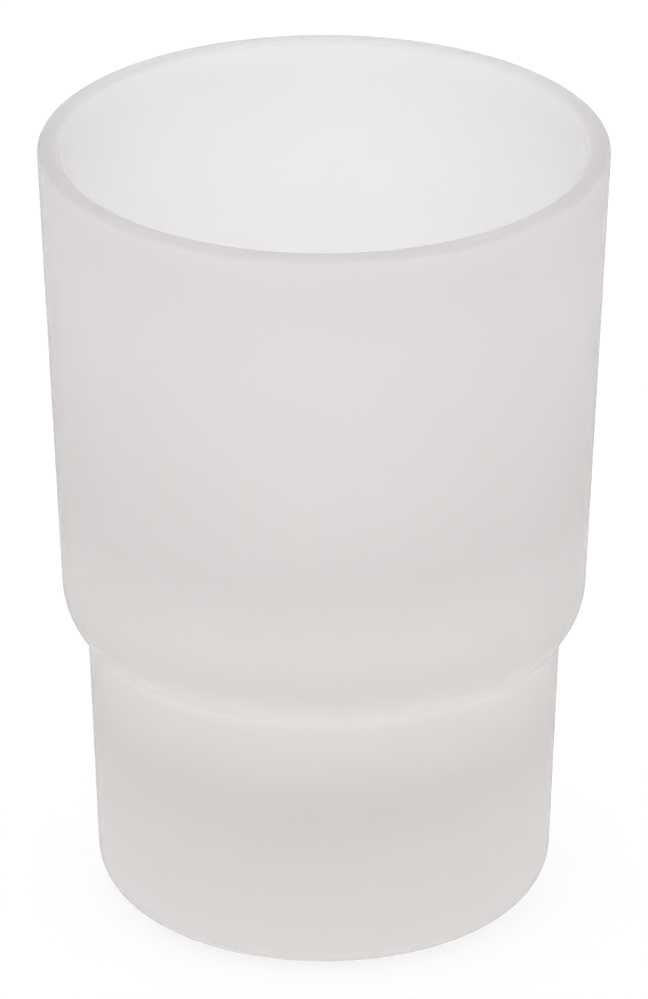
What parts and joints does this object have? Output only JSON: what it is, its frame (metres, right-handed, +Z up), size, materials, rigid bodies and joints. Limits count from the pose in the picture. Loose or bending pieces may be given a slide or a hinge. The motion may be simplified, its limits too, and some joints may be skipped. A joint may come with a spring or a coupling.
{
  "type": "bathroom tumbler",
  "caption": "Stepped frosted glass tumbler: wide tapered upper body, rounded shoulder, narrower lower body and a thick base with a foot ring.",
  "frame": {"origin": "on the axis, in the plane that the foot ring stands on", "axes": "+Z up along the axis of revolution, from the base to the mouth; the part is round, so X and Y are alike"},
  "size_m": [0.07, 0.07, 0.0996],
  "materials": {
    "frosted_glass": "satin, acid-frosted all over, with a smoother fire-polished lip"
  },
  "bodies": {
    "root": {"tumbler": "frosted_glass"}
  },
  "joints": []
}
